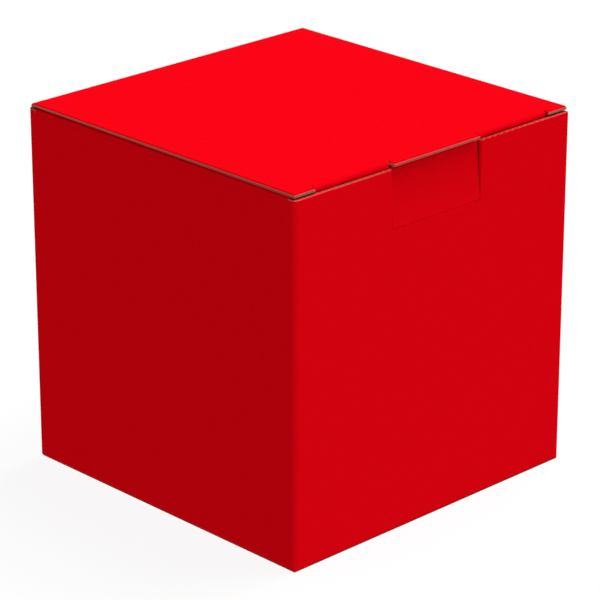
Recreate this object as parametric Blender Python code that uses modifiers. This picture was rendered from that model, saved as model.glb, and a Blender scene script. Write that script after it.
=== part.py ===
"""A cube-shaped mailing box of corrugated board, shut, as the panels that the creases divide its one sheet into.

Axes: X to the right, Y to the back, Z up, metres, with the origin under the middle of the box on the floor.
Each panel is an open surface with the board's thickness given to it. A square fold is shared by the two panels that it
joins: each carries its half of the round, up to the mitre, and a thin cut along the mitre keeps the two solids apart.
A panel that moves has its origin on the outermost line of its fold, where the printed face stays whole and bends.
"""

import math

import bmesh
import bpy
from mathutils import Matrix, Vector

MM = 0.001

# The box, outside
SIDE = 150.0 * MM  # width and depth: the box is square in plan
HEIGHT = 151.4 * MM
BOARD = 1.5 * MM  # small-flute board
GAP = 0.3 * MM  # between two solids that touch in the real box

# Folds
FOLD = 2.0 * MM  # outside radius of a square fold
TUCK_FOLD = 1.7 * MM  # tighter: the tuck flap is creased harder
FOLD_STEPS = 4  # facets in half of a fold

# Front edge of the box
FRONT_DROP = 2.25 * MM  # the raw top edge of the front and side walls lies this far below the lid's face
LID_INSET = 1.0 * MM  # the lid's raw side edges, from the side walls' faces
EAR_INSET = 1.0 * MM  # the lid's raw front corners, from the front wall's face
EAR_WIDTH = 10.7 * MM  # width of a raw front corner
LIP_HALF = 23.5 * MM  # the lip in the middle of the lid's front edge, which stays flush with the front

# Lock tab
TAB_HALF = 23.5 * MM
TAB_LENGTH = 24.05 * MM  # from its crease to the front wall's top edge
TAB_LEAN_DEG = 4.5  # pushed in at its top
TAB_TOP_GAP = 0.25 * MM  # between the tab's top and the level of the front wall's top
TAB_CORNER = 0.6 * MM

# Tuck flap
TUCK_FACE = 1.9 * MM  # from the front wall's outer face to the tuck flap's, where it is upright
TUCK_LEAN_DEG = 15.0  # it leans into the box, so that it clears the lock tab on its way up
TUCK_DEPTH = 22.0 * MM
TUCK_SLOT = 8.0 * MM  # the opening under the lip, down the flap
TUCK_SHOULDER = 3.0 * MM  # straight part of the flap's ends, below the fold
TUCK_TAPER = 7.0 * MM  # the free edge is this much shorter at each end
TUCK_CORNER = 6.0 * MM
SLOT_CORNER = 1.5 * MM

# Dust flaps
DUST_PLAY = 0.4 * MM  # between them and the lid
DUST_REACH = 62.0 * MM  # from the side wall's face
DUST_FRONT = 3.9 * MM  # from the front wall's face to the fold's end
DUST_SHOULDER = 11.5 * MM  # set back behind the tuck flap
DUST_TIP = 19.0 * MM  # the same at the free end
DUST_BACK_TIP = 35.0 * MM  # from the back wall's face at the free end: the lid passes over this slant as it opens
DUST_CORNER = 6.0 * MM
SHOULDER_CORNER = 2.0 * MM

# Bottom: four flaps, locked without glue. Each lies one board and one gap above the one below it.
FOOT = 0.25 * MM  # the raw lower end of an upright fold
RELIEF = 2.5 * MM  # from the corner to the end of a fold
RISE_STEPS = 4  # facets in a bend of a rising flap
JOGGLE = 3.0 * MM  # radius of those bends
RISE_DEG = 20.0
STEEP_RISE_DEG = 25.0  # the slot flap rises two levels beside the back wall
STRIP = 9.0 * MM  # from a wall's face, the room that a neighbouring flap needs to rise
BOTTOM_CORNER = 5.0 * MM
SIDE_PLAY = 2.0 * MM  # between the tongue and the side flaps' free ends
SIDE_FRONT = 9.5 * MM  # a side flap's front edge at the end of the strip, from the front wall's face
SIDE_FRONT_TIP = 31.0 * MM  # and at its free end
SIDE_BACK = 13.0 * MM  # the same from the back wall's face
SIDE_BACK_TIP = 37.0 * MM
TONGUE_PANEL = 77.0 * MM  # from the front wall's face to the tongue's root
TONGUE_HALF = 25.0 * MM
TONGUE_LENGTH = 47.0 * MM
TONGUE_TAPER = 4.0 * MM  # at each side of the tongue
TONGUE_SHOULDER = 6.0 * MM  # at each side of the panel
SLOT_OVERLAP = 22.0 * MM  # the slot flap reaches this far past the tongue's root
SLOT_DEPTH = 40.5 * MM
SLOT_PLAY = 3.0 * MM  # beside the tongue
SLOT_LEAD = 6.0 * MM  # the slot's mouth widens by this at each side
SLOT_TIP = 8.0 * MM  # length of the slot flap's slanted ends
SLOT_TAPER = 5.0 * MM  # each side of the slot flap, to where its slanted end begins

# Glued corner, at the back right
GLUE_LAP = 30.0 * MM
GLUE_FOOT = 14.0 * MM  # above the floor
GLUE_HEAD = 3.0 * MM  # below the right wall's raw top edge

RED = (0.68, 0.004, 0.008, 1.0)
ROUGHNESS = 0.6

# What follows from these sizes
HALF = SIDE / 2
MITRE_DEG = 2 * math.degrees(math.asin(GAP / 4 / FOLD))  # half of the mitre's cut, seen from the fold's centre
TURN_DEG = 45 - MITRE_DEG  # what one panel carries of a square fold
FACET = math.radians(TURN_DEG) / FOLD_STEPS
FOLD_LINE = FOLD * (1 - math.sqrt(0.5))  # the fold's outermost line, from either of the faces that it joins
TUCK_LINE = TUCK_FOLD * (1 - math.sqrt(0.5))
TANGENT = FOLD * math.tan(FACET / 2)  # the first facet lies on the flat and is this wide
END = HALF - FOLD + TANGENT  # where a wall's flat ends
LEVEL = BOARD + GAP
ROOT = HALF - RELIEF
NECK = HALF - STRIP
WALL_TOP = HEIGHT - FRONT_DROP
TAB_CREASE = WALL_TOP - TAB_LENGTH
DUST_TOP = HEIGHT - BOARD - DUST_PLAY
GLUED_FOLD = HALF - BOARD - GAP - FOLD  # the right wall's back fold, from the middle: its flap lies inside the back wall
BACK_ROOT = GLUED_FOLD - GAP  # the folds above and below the side walls end short of the glued corner
TUCK_CENTRE = (TUCK_FACE + TUCK_FOLD - HALF, HEIGHT - TUCK_FOLD)
TUCK_ROOT = HALF - LID_INSET - EAR_WIDTH - GAP
SIDE_REACH = HALF - TONGUE_HALF - SIDE_PLAY
SLOT_REACH = SIDE - TONGUE_PANEL + SLOT_OVERLAP
SLOT_HALF = TONGUE_HALF + SLOT_PLAY
PAST = 1.0 * MM  # how far an outline runs past the board that it trims
TINY = 0.001 * MM


class Path:
    """A line along bent board, drawn as its side view: straight runs and bends of flat facets."""

    def __init__(self, across, up, heading_deg):
        self.at = Vector((across, up))
        self.heading = math.radians(heading_deg)
        self.corners = [self.at.copy()]

    @classmethod
    def from_mitre(cls, centre, fold, from_deg, to_deg):
        """Half of a fold: its centre, outer radius, and the angles that the printed face looks to."""
        middle = fold - BOARD / 2
        angle = math.radians(from_deg)
        turn = to_deg - from_deg
        start = Vector(centre) + middle * Vector((math.cos(angle), math.sin(angle)))
        path = cls(start.x, start.y, from_deg + math.copysign(90, turn))
        return path.bend(turn, middle, FOLD_STEPS)

    def ahead(self, length):
        self.at = self.at + length * Vector((math.cos(self.heading), math.sin(self.heading)))
        return self

    def bend(self, turn_deg, radius, steps):
        turn = math.radians(turn_deg) / steps
        tangent = radius * math.tan(abs(turn) / 2)
        for _ in range(steps):
            self.ahead(tangent)
            self.corners.append(self.at.copy())
            self.heading += turn
            self.ahead(tangent)
        return self

    def rise(self, height, slope_deg):
        """A soft step to a level that is higher by height."""
        slope = math.radians(slope_deg)
        straight = (height - 2 * JOGGLE * (1 - math.cos(slope))) / math.sin(slope)
        return self.bend(slope_deg, JOGGLE, RISE_STEPS).ahead(straight).bend(-slope_deg, JOGGLE, RISE_STEPS)

    def ahead_to(self, across):
        return self.ahead(abs(across - self.at.x) / abs(math.cos(self.heading)))

    def points(self):
        return self.corners + [self.at]


def rounded(corners, steps=5):
    """An outline from (x, y, radius) corners."""
    points = []
    for index, (x, y, radius) in enumerate(corners):
        if not radius:
            points.append((x, y))
            continue
        here = Vector((x, y))
        before = (Vector(corners[index - 1][:2]) - here).normalized()
        after = (Vector(corners[(index + 1) % len(corners)][:2]) - here).normalized()
        half = before.angle(after) / 2
        centre = here + (before + after).normalized() * radius / math.sin(half)
        first = here + before * radius / math.tan(half) - centre
        last = here + after * radius / math.tan(half) - centre
        sweep = first.angle_signed(last)
        for step in range(steps + 1):
            points.append(tuple(centre + Matrix.Rotation(-sweep * step / steps, 2) @ first))
    return points


def mirrored(corners):
    """Corners of the right half, bottom to top, followed by their mirror images."""
    return corners + [(-x, y, radius) for x, y, radius in reversed(corners)]


def clear_scene():
    for obj in list(bpy.data.objects):
        bpy.data.objects.remove(obj)


def new_collection(name):
    made = bpy.data.collections.new(name)
    bpy.context.scene.collection.children.link(made)
    return made


def new_frame(parts, name, location=(0, 0, 0), turn_deg=0, parent=None):
    """An empty that pieces are placed from."""
    frame = bpy.data.objects.new(name, None)
    frame.empty_display_size = 10 * MM
    frame.location = location
    frame.rotation_euler.z = math.radians(turn_deg)
    frame.parent = parent
    parts.objects.link(frame)
    return frame


def add_piece(parts, name, bm, frame, origin=(0, 0, 0)):
    """A piece drawn in its frame's axes, with its own origin where it is given."""
    bmesh.ops.translate(bm, verts=bm.verts, vec=-Vector(origin))
    mesh = bpy.data.meshes.new(name)
    bm.to_mesh(mesh)
    bm.free()
    piece = bpy.data.objects.new(name, mesh)
    piece.parent = frame
    piece.location = origin
    parts.objects.link(piece)
    material = bpy.data.materials.new(name + "_board")
    material.use_nodes = True
    shader = material.node_tree.nodes["Principled BSDF"]
    shader.inputs["Base Color"].default_value = RED
    shader.inputs["Roughness"].default_value = ROUGHNESS
    mesh.materials.append(material)
    return piece


def thicken(piece, offset):
    """Board on the surface: behind it at -1, on both sides of it at 0."""
    board = piece.modifiers.new("board", "SOLIDIFY")
    board.thickness = BOARD
    board.offset = offset
    board.use_even_offset = True
    board.use_quality_normals = True


def flat_solid(outline, low, high):
    """An outline in X and Y as a closed solid between two levels of Z."""
    curve = bpy.data.curves.new("outline", "CURVE")
    curve.dimensions = "2D"
    curve.fill_mode = "BOTH"
    curve.extrude = (high - low) / 2
    spline = curve.splines.new("POLY")
    spline.points.add(len(outline) - 1)
    for point, (x, y) in zip(spline.points, outline):
        point.co = (x, y, 0, 1)
    spline.use_cyclic_u = True
    drawn = bpy.data.objects.new("outline", curve)
    bpy.context.scene.collection.objects.link(drawn)
    graph = bpy.context.evaluated_depsgraph_get()
    mesh = bpy.data.meshes.new_from_object(drawn.evaluated_get(graph))
    bm = bmesh.new()
    bm.from_mesh(mesh)
    bpy.data.objects.remove(drawn)
    bpy.data.meshes.remove(mesh)
    bmesh.ops.remove_doubles(bm, verts=bm.verts, dist=TINY)
    bmesh.ops.recalc_face_normals(bm, faces=bm.faces)
    bmesh.ops.translate(bm, verts=bm.verts, vec=(0, 0, (low + high) / 2))
    return bm


def stand_up(bm):
    """Turns what was drawn flat upright: its Y becomes Z, and what looked up looks to the front."""
    bmesh.ops.rotate(bm, verts=bm.verts, cent=(0, 0, 0), matrix=Matrix.Rotation(math.radians(90), 3, "X"))


def trim(piece, cutters, name, bm, operation):
    """Keeps what lies inside the outline, or what lies outside it."""
    mesh = bpy.data.meshes.new(name)
    bm.to_mesh(mesh)
    bm.free()
    cutter = bpy.data.objects.new(name, mesh)
    cutter.parent = piece.parent
    cutter.hide_render = True
    cutter.display_type = "WIRE"
    cutters.objects.link(cutter)
    cut = piece.modifiers.new(name, "BOOLEAN")
    cut.operation = operation
    cut.solver = "EXACT"
    cut.object = cutter
    return cutter


def extrude(bm, edges, way):
    made = bmesh.ops.extrude_edge_only(bm, edges=edges)["geom"]
    verts = [item for item in made if isinstance(item, bmesh.types.BMVert)]
    bmesh.ops.translate(bm, verts=verts, vec=way)


def bent_sheet(path, low, high, plan=False):
    """The path swept along X, or along Z where it was drawn in plan."""
    bm = bmesh.new()
    if plan:
        verts = [bm.verts.new((point.x, point.y, low)) for point in path.points()]
    else:
        verts = [bm.verts.new((low, point.x, point.y)) for point in path.points()]
    edges = [bm.edges.new(pair) for pair in zip(verts, verts[1:])]
    extrude(bm, edges, (0, 0, high - low) if plan else (high - low, 0, 0))
    bmesh.ops.recalc_face_normals(bm, faces=bm.faces)
    return bm


def flat_sheet(x_lines, y_lines, cut_away=None):
    """A flat face that looks up, divided along the lines, without the cells round whose middle cut_away(x, y) holds."""
    bm = bmesh.new()
    bmesh.ops.create_grid(bm, x_segments=1, y_segments=1, size=0.5)
    low = Vector((min(x_lines), min(y_lines), 0))
    high = Vector((max(x_lines), max(y_lines), 0))
    bmesh.ops.scale(bm, verts=bm.verts, vec=high - low)
    bmesh.ops.translate(bm, verts=bm.verts, vec=(low + high) / 2)
    for normal, lines in (((1, 0, 0), x_lines), ((0, 1, 0), y_lines)):
        for line in sorted(lines)[1:-1]:
            geom = bm.verts[:] + bm.edges[:] + bm.faces[:]
            bmesh.ops.bisect_plane(bm, geom=geom, dist=TINY, plane_co=line * Vector(normal), plane_no=normal)
    if cut_away:
        gone = [face for face in bm.faces if cut_away(*face.calc_center_median().xy)]
        bmesh.ops.delete(bm, geom=gone, context="FACES")
    return bm


def open_edges(bm, inside):
    """The open edges of the surface whose two ends lie where inside(place) holds."""
    return [edge for edge in bm.edges if edge.is_boundary and all(inside(vert.co) for vert in edge.verts)]


def half_fold(bm, inside, centre, axis, ahead, fold=FOLD):
    """Half of a fold, spun from a flat's open edges. ahead is the way that the flat runs towards the fold."""
    spun = bmesh.ops.spin(
        bm, geom=open_edges(bm, inside), cent=centre, axis=axis, angle=FACET * (FOLD_STEPS - 1), steps=FOLD_STEPS - 1
    )
    last = [item for item in spun["geom_last"] if isinstance(item, bmesh.types.BMEdge)]
    turned = Matrix.Rotation(math.radians(TURN_DEG), 3, Vector(axis)) @ Vector(ahead)
    extrude(bm, last, fold * math.tan(FACET / 2) * turned)


def upright_fold(bm, end):
    """The fold at a wall's end. It runs down to the foot, past the fold of the bottom."""
    way = math.copysign(1, end)
    centre = (end - way * TANGENT, FOLD, 0)
    half_fold(bm, lambda at: abs(at.x - end) < TINY, centre, (0, 0, way), (way, 0, 0))
    start = FOLD - TANGENT
    feet = open_edges(bm, lambda at: abs(at.z - start) < TINY and way * (at.x - end) > -TINY)
    extrude(bm, feet, (0, 0, FOOT - start))


def bottom_fold(bm, low, high):
    inside = lambda at: abs(at.z - FOLD + TANGENT) < TINY and low - TINY < at.x < high + TINY
    half_fold(bm, inside, (0, FOLD, FOLD), (1, 0, 0), (0, 0, -1))


def top_fold(bm, top, low, high):
    inside = lambda at: abs(at.z - top + FOLD - TANGENT) < TINY and low - TINY < at.x < high + TINY
    half_fold(bm, inside, (0, FOLD, top - FOLD), (-1, 0, 0), (0, 0, 1))


def make_front_wall(parts, frame):
    notch = TAB_HALF + GAP
    bm = flat_sheet(
        [-END, -ROOT, -notch, notch, ROOT, END], [FOLD - TANGENT, TAB_CREASE, WALL_TOP],
        lambda x, z: abs(x) < notch and z > TAB_CREASE,
    )
    stand_up(bm)
    upright_fold(bm, -END)
    upright_fold(bm, END)
    bottom_fold(bm, -ROOT, ROOT)
    thicken(add_piece(parts, "front_wall", bm, frame), -1)


def make_side_wall(parts, name, frame, front, back_end):
    """front is the way to the box's front along the wall: 1 on the left side, -1 on the right."""
    fold_start = DUST_TOP - FOLD + TANGENT
    fold_end = HALF - DUST_FRONT
    post = fold_end + GAP
    lines = [END, ROOT, post, fold_end, -BACK_ROOT, -back_end]
    bm = flat_sheet(
        [front * line for line in lines], [FOLD - TANGENT, fold_start, WALL_TOP],
        lambda x, z: front * x < post and z > fold_start,
    )
    stand_up(bm)
    top_fold(bm, DUST_TOP, *sorted((front * fold_end, -front * BACK_ROOT)))
    upright_fold(bm, front * END)
    upright_fold(bm, -front * back_end)
    bottom_fold(bm, *sorted((front * ROOT, -front * BACK_ROOT)))
    thicken(add_piece(parts, name, bm, frame), -1)


def make_back_wall(parts, frame):
    """Its end at the box's right is raw, and lies over the glue flap."""
    bm = flat_sheet([GAP - HALF, -ROOT, ROOT, END], [FOLD - TANGENT, HEIGHT - FOLD + TANGENT])
    stand_up(bm)
    top_fold(bm, HEIGHT, -ROOT, ROOT)
    upright_fold(bm, END)
    bottom_fold(bm, -ROOT, ROOT)
    thicken(add_piece(parts, "back_wall", bm, frame), -1)


def make_glue_flap(parts, frame):
    path = Path.from_mitre((GLUED_FOLD, FOLD), FOLD, 315 + MITRE_DEG, 360)
    path.ahead(GLUE_LAP)
    bm = bent_sheet(path, GLUE_FOOT, WALL_TOP - GLUE_HEAD, plan=True)
    thicken(add_piece(parts, "glue_flap", bm, frame), 0)


def bottom_path():
    return Path.from_mitre((FOLD, FOLD), FOLD, 225 + MITRE_DEG, 270)


def make_bottom_flap(parts, cutters, name, frame, path, outline):
    flap = add_piece(parts, name, bent_sheet(path, -HALF, HALF), frame)
    thicken(flap, 0)
    trim(flap, cutters, name + "_outline", flat_solid(rounded(outline), -BOARD, 5 * LEVEL), "INTERSECT")


def make_bottom_side_flap(parts, cutters, name, frame, front):
    path = bottom_path().rise(LEVEL, RISE_DEG).ahead_to(SIDE_REACH)
    end = SIDE_REACH + PAST
    make_bottom_flap(parts, cutters, name, frame, path, [
        (-front * BACK_ROOT, -BOARD, 0), (front * ROOT, -BOARD, 0), (front * ROOT, FOLD, 0),
        (front * (HALF - SIDE_FRONT), STRIP, 0), (front * (HALF - SIDE_FRONT_TIP), end, BOTTOM_CORNER),
        (front * (SIDE_BACK_TIP - HALF), end, BOTTOM_CORNER), (front * (SIDE_BACK - HALF), STRIP, 0),
        (-front * BACK_ROOT, FOLD, 0),
    ])


def make_bottom_slot_flap(parts, cutters, frame):
    path = bottom_path().rise(2 * LEVEL, STEEP_RISE_DEG).ahead_to(SLOT_REACH)
    end = SLOT_REACH + PAST
    make_bottom_flap(parts, cutters, "bottom_slot_flap", frame, path, mirrored([
        (ROOT, -BOARD, 0), (ROOT, FOLD - GAP, 0), (NECK, FOLD - GAP, 0),
        (NECK - SLOT_TAPER, end - SLOT_TIP, 0), (NECK - SLOT_TAPER - SLOT_TIP, end, 0),
        (SLOT_HALF + SLOT_LEAD, end, 0), (SLOT_HALF, end - SLOT_TIP, 0),
        (SLOT_HALF, end - SLOT_DEPTH, BOTTOM_CORNER),
    ]))


def make_bottom_tongue_flap(parts, cutters, frame):
    path = bottom_path().ahead_to(TONGUE_PANEL).rise(3 * LEVEL, RISE_DEG)
    path.ahead_to(TONGUE_PANEL + TONGUE_LENGTH)
    end = TONGUE_PANEL + TONGUE_LENGTH + PAST
    shoulder = TONGUE_PANEL - PAST
    make_bottom_flap(parts, cutters, "bottom_tongue_flap", frame, path, mirrored([
        (ROOT, -BOARD, 0), (ROOT, FOLD - GAP, 0), (NECK, FOLD - GAP, 0),
        (NECK - TONGUE_SHOULDER, shoulder, BOTTOM_CORNER), (TONGUE_HALF, shoulder, 0),
        (TONGUE_HALF - TONGUE_TAPER, end, BOTTOM_CORNER),
    ]))


def make_lid(parts, frame):
    """Its raw front corners, its lip and the two halves of the tuck flap's fold, then its own fold at the back."""
    half = HALF - LID_INSET
    ear = half - EAR_WIDTH
    lip = LIP_HALF + GAP
    across = [half, ear, ear - GAP, lip, LIP_HALF]
    tuck_start = TUCK_CENTRE[0] - TUCK_FOLD * math.tan(FACET / 2)
    bm = flat_sheet(
        across + [-x for x in across], [-HALF, EAR_INSET - HALF, tuck_start, END],
        lambda x, y: y < tuck_start and LIP_HALF < abs(x) < ear or abs(x) > ear and y < EAR_INSET - HALF,
    )
    bmesh.ops.translate(bm, verts=bm.verts, vec=(0, 0, HEIGHT))
    half_fold(bm, lambda at: abs(at.y - END) < TINY, (0, HALF - FOLD, HEIGHT - FOLD), (-1, 0, 0), (0, 1, 0))
    for way in (-1, 1):
        inside = lambda at: abs(at.y - tuck_start) < TINY and lip - TINY < way * at.x < TUCK_ROOT + TINY
        half_fold(bm, inside, (0, *TUCK_CENTRE), (1, 0, 0), (0, -1, 0), TUCK_FOLD)
    lid = add_piece(parts, "lid_panel", bm, frame, (0, HALF - FOLD_LINE, HEIGHT - FOLD_LINE))
    thicken(lid, -1)
    return lid


def make_tuck_flap(parts, cutters, lid):
    """It hangs from the lid by two short folds, one on each side of the opening that the lip was cut from."""
    path = Path.from_mitre(TUCK_CENTRE, TUCK_FOLD, 135 + MITRE_DEG, 180 + TUCK_LEAN_DEG)
    path.ahead(TUCK_DEPTH)
    hinge = Vector(lid.location)
    origin = Vector((0, TUCK_FACE + TUCK_LINE - HALF, HEIGHT - TUCK_LINE))
    bm = bent_sheet(path, -TUCK_ROOT, TUCK_ROOT)
    bmesh.ops.translate(bm, verts=bm.verts, vec=-hinge)
    flap = add_piece(parts, "tuck_flap", bm, lid, origin - hinge)
    thicken(flap, 0)
    start = HEIGHT - TUCK_FOLD
    outline = mirrored([
        (TUCK_ROOT - TUCK_TAPER, start - TUCK_DEPTH, TUCK_CORNER), (TUCK_ROOT + PAST, start - TUCK_SHOULDER, 0),
        (TUCK_ROOT + PAST, HEIGHT, 0),
    ])
    slot = mirrored([(LIP_HALF + GAP, start - TUCK_SLOT, SLOT_CORNER), (LIP_HALF + GAP, HEIGHT + BOARD, 0)])
    for name, corners, operation in (("tuck_outline", outline, "INTERSECT"), ("tuck_slot", slot, "DIFFERENCE")):
        bm = flat_solid(rounded(corners), HALF - TUCK_DEPTH, HALF + BOARD)
        stand_up(bm)
        bmesh.ops.translate(bm, verts=bm.verts, vec=-hinge)
        trim(flap, cutters, name, bm, operation)


def make_lock_tab(parts, frame):
    """Upright board in its own axes. The piece leans about its crease."""
    crease = TAB_CREASE + GAP / 2
    outline = mirrored([(TAB_HALF, TAB_CREASE + GAP, 0), (TAB_HALF, WALL_TOP - TAB_TOP_GAP, TAB_CORNER)])
    bm = flat_solid(rounded(outline), -BOARD, 0)
    stand_up(bm)
    tab = add_piece(parts, "front_lock_tab", bm, frame, (0, 0, crease))
    tab.rotation_euler.x = math.radians(-TAB_LEAN_DEG)


def make_dust_flap(parts, cutters, name, frame, front):
    path = Path.from_mitre((FOLD, DUST_TOP - FOLD), FOLD, 135 - MITRE_DEG, 90)
    path.ahead_to(DUST_REACH)
    bm = bent_sheet(path, -HALF, HALF)
    flap = add_piece(parts, name, bm, frame, (0, FOLD_LINE, DUST_TOP - FOLD_LINE))
    thicken(flap, 0)
    fold_end = HALF - DUST_FRONT
    outline = [
        (front * fold_end, -BOARD, 0), (front * fold_end, FOLD, 0),
        (front * (HALF - DUST_SHOULDER), FOLD + DUST_SHOULDER - DUST_FRONT, SHOULDER_CORNER),
        (front * (HALF - DUST_TIP), DUST_REACH, DUST_CORNER),
        (front * (DUST_BACK_TIP - HALF), DUST_REACH, DUST_CORNER),
        (-front * BACK_ROOT, FOLD, 0), (-front * BACK_ROOT, -BOARD, 0),
    ]
    bm = flat_solid(rounded(outline), DUST_TOP - 2 * BOARD, DUST_TOP + BOARD)
    trim(flap, cutters, name + "_outline", bm, "INTERSECT")


def main():
    clear_scene()
    parts = new_collection("mailing_box")
    cutters = new_collection("cutters")
    cutters.hide_render = True
    box = new_frame(parts, "box_origin")
    front = new_frame(parts, "front_side", (0, -HALF, 0), 0, box)
    right = new_frame(parts, "right_side", (HALF, 0, 0), 90, box)
    back = new_frame(parts, "back_side", (0, HALF, 0), 180, box)
    left = new_frame(parts, "left_side", (-HALF, 0, 0), 270, box)
    make_front_wall(parts, front)
    make_side_wall(parts, "left_wall", left, 1, END)
    make_side_wall(parts, "right_wall", right, -1, GLUED_FOLD + TANGENT)
    make_back_wall(parts, back)
    make_glue_flap(parts, right)
    make_bottom_side_flap(parts, cutters, "bottom_left_flap", left, 1)
    make_bottom_side_flap(parts, cutters, "bottom_right_flap", right, -1)
    make_bottom_slot_flap(parts, cutters, back)
    make_bottom_tongue_flap(parts, cutters, front)
    lid = make_lid(parts, box)
    make_tuck_flap(parts, cutters, lid)
    make_lock_tab(parts, front)
    make_dust_flap(parts, cutters, "left_dust_flap", left, 1)
    make_dust_flap(parts, cutters, "right_dust_flap", right, -1)


main()
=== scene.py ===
"""Looks of a cube-shaped mailing box of small-flute board, printed red outside and bare kraft inside.

Lengths are in millimetres until a point is placed. A panel is drawn flat: u runs across the flutes, v along
them, and d is the depth below the printed face. A fold that doesn't move is shared by the two panels that it
joins, and one that moves is a strip of its own.
"""

import math

import bmesh
import bpy
from mathutils import Matrix, Vector


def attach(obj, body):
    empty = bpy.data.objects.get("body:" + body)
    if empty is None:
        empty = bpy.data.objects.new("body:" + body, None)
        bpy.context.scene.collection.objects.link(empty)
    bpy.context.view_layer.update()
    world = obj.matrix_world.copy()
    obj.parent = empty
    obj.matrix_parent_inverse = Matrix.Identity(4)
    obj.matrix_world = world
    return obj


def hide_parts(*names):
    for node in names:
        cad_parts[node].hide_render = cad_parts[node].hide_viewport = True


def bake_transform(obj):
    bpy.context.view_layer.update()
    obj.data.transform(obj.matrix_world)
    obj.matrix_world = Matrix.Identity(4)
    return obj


MM = 0.001
QUARTER = math.pi / 2

U, V = 0, 1  # the axes of a flat panel
LENGTH, SPAN = 0, 1  # the columns of a profile's rows that v can stand for

# The box. Its sizes are the CAD's, apart from fine cuts.
HALF = 75.0
HEIGHT = 151.4
BOARD = 1.5
FOLD = 2.0  # outer radius of a square fold
FOLD_START = HALF - FOLD
GLUED_FOLD = 71.45  # the glued corner's fold starts here
EIGHTH_END = FOLD * math.pi / 4  # length of half a fold on the printed face
UPRIGHT_END = FOLD_START + EIGHTH_END
BOTTOM_END = FOLD - EIGHTH_END

# Walls
WALL_TOP = 149.15
FOOT = 0.25
ROOT = 72.85  # the bottom's folds end here
BACK_ROOT = 70.9  # and those of the side walls here, beside the glued corner
SLIT = 72.95  # parts the bottom's folds from the upright ones
BACK_EDGE = 74.8  # the back wall ends here at the glued corner
NO_FOLD = 80.0  # past the end of a wall that has no fold there
FRONT_POST = 71.25  # the side walls' raw corners beside the dust flaps' folds
BACK_POST = 71.05
GLUE_FOOT = 14.0
GLUE_TOP = WALL_TOP - 3
GLUE_REACH = 30

# Bottom flaps. A pair is half a width where a taper starts, and at the flap's free end.
AT_FOLD = -1  # stands for the start of the fold in a flap's outline
LEVEL = 1.8  # from one board to the board on it
JOGGLE = 3.0  # radius of the soft bends
RISE_STEPS = 5
BOTTOM_CORNER = 5.0
SIDE_FLAP_TAPER = 9.0
SIDE_FLAP_REACH = 48.0
SIDE_FLAP_FRONT = (65.5, 44.0)
SIDE_FLAP_BACK = (62.0, 38.0)
NECK = 66.0
SHOULDER = FOLD - 0.3  # the slot flap and the tongue flap narrow to the neck here
SLOT_FLAP_TAPER = 87.0
SLOT_FLAP_REACH = 95.0
SLOT_FLAP_HALF = (61.0, 53.0)
SLOT_HALF = (28.0, 34.0)
SLOT_FOOT = 54.5
TONGUE_PANEL = 77.0  # the tongue flap is level up to here
TONGUE_SHOULDER = 76.9
TONGUE_PANEL_HALF = 60.0
TONGUE_REACH = 124.0
TONGUE_HALF = (25.0, 21.0)

# Lid
LID_HALF = 74.0
LID_ROOT = 72.9  # half the width of its crease at the back wall
LID_FLARE = 0.12  # share of the crease's length over which it widens to the lid's width
LID_FRONT = 71.4  # the tuck flap's folds start here
LIP_HALF = 23.5
EAR_INNER = 63.2  # the raw corners of the front edge
EAR_FRONT = 74.0

# Tuck flap
TUCK_FOLD = 1.7
TUCK_AXIS = 3.6  # behind the front face
TUCK_LEAN_DEG = 15
TUCK_SIDES = (23.8, 63.0)
TUCK_ROOTS = (23.55, 63.15)  # its creases start here, close beside the lid's short cuts
TUCK_TAPER = 3.0
TUCK_DEPTH = 22.0
TUCK_END_HALF = 56.0
TUCK_SLOT = 7.8
TUCK_CORNER = 1.5

# Notch and lock tab
NOTCH_HALF = 24.1
NOTCH_FOOT = 124.7
NOTCH_STEPS = 6
CREASE = 0.9  # length of the lock tab's crease
CREASE_STEPS = 12
SCORE = 0.28  # depth of its groove
SCORE_POWER = 6  # how narrow the groove is
TAB_LEAN_DEG = 4.5
TAB_TOP = 148.85
TAB_PLAY = 0.1
TAB_HEIGHT = 24.0  # the painted shade under the lid's lip deepens over this height of the print
TAB_TOP_SHARE = 0.87  # of the print's brightness at the lock tab's top, where the painted shade under the lid's lip is deepest

# Dust flaps
DUST_TOP = 149.5
DUST_END = 71.1
DUST_REACH = 62.0
DUST_NECK = (63.5, 7.6)  # where the front end's slant changes, and how far that is beyond the fold
DUST_NECK_CORNER = 2.0
DUST_FRONT = 56.0
DUST_BACK = 40.0
FLAP_CORNER = 6.0  # of the dust flaps and the tuck flap

# The board
LINER = 0.22
MEDIUM = 0.16
CRESTS = 46  # from one raw side edge of the lid to the other, with a crest under each edge
PITCH = 2 * LID_HALF / CRESTS
WAVE_STEPS = 8
SWELL = 0.2  # of each layer of paper where it is crushed

# A raw edge, crushed by the die: how far the print is pressed down, how far the inner face is pressed up (below
# 0 it is pushed out), how far the cut leans in towards the inner face, and how far the outer liner's own cut
# leans in towards the print
CRUSH_WIDTH = 0.7
CRUSH_RINGS = (0.34, 0.36)  # two rings of faces inside the edge, together as wide
ACROSS = (0.48, -0.1, 0.1, 0.28)  # cut across the flutes
ALONG = (0.42, 0.2, 0.05, 0.3)  # cut along them
WALL_EDGE = (0.08, 0.0, 0.0, 0.2)  # the front wall's top
CLOSED = (0.05, 0.0, 0.0, 0.0)  # a fine cut whose two sides haven't moved, such as at the lock tab's foot
PRESSED = (1.0, -0.4, 0.3, 0.3)  # beside the top of the lock tab, which dragged the board in with it
SHARPEST = 0.5  # keeps the mitre short at a sharp corner

# Folds
ARC_STEPS = 8  # in half a fold
HALF_FOLD_DEG = 45
SEAM_DEG = 0.5  # the last facet at a seam, so that the shading on both sides of it agrees
SUPPORT = 0.25  # a line this far from a fold keeps the flat beside it flat in shading
SHARP_DEG = 35.0

# Lengths that count as nothing
TINY = 1e-6
BISECT_NEAR = 1e-5
NEAR = 1e-4

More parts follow.
